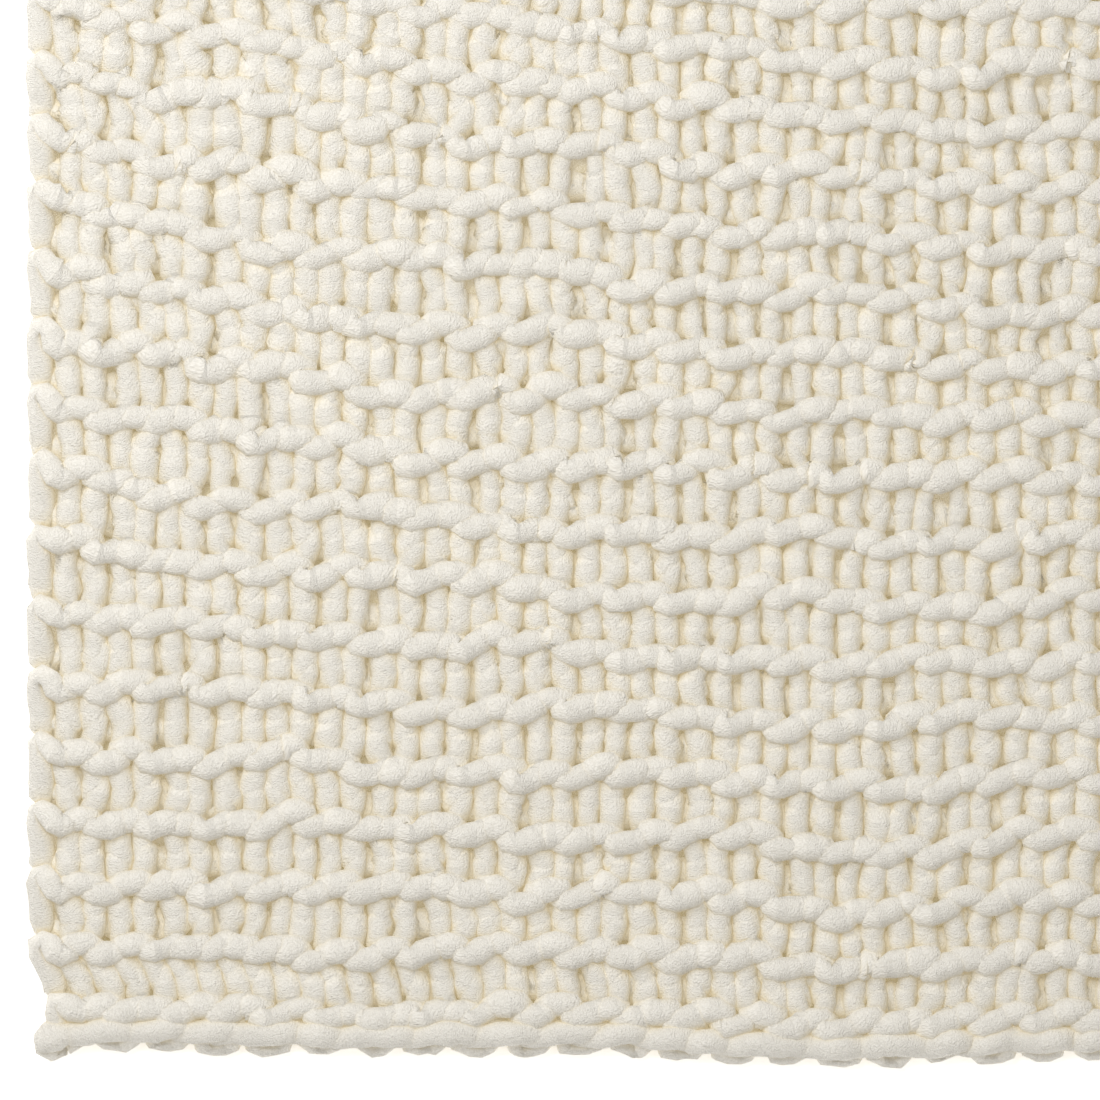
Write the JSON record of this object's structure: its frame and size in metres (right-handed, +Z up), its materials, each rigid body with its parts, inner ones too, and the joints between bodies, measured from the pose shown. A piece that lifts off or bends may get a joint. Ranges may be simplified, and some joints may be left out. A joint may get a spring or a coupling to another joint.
{
  "type": "knit blanket",
  "caption": "Chunky garter-stitch blanket of thick ivory chenille yarn, lying flat, with rolled side edges and plain chained ends.",
  "frame": {"origin": "middle of the underside, on the floor", "axes": "+X across the knitting rows, +Y along the wales from the cast-on chain to the bound-off chain, +Z up out of the cloth"},
  "size_m": [0.9174, 0.9978, 0.0279],
  "materials": {
    "chenille": "soft matt chenille pile, undyed ivory"
  },
  "bodies": {
    "root": {"blanket": "chenille"}
  },
  "joints": []
}
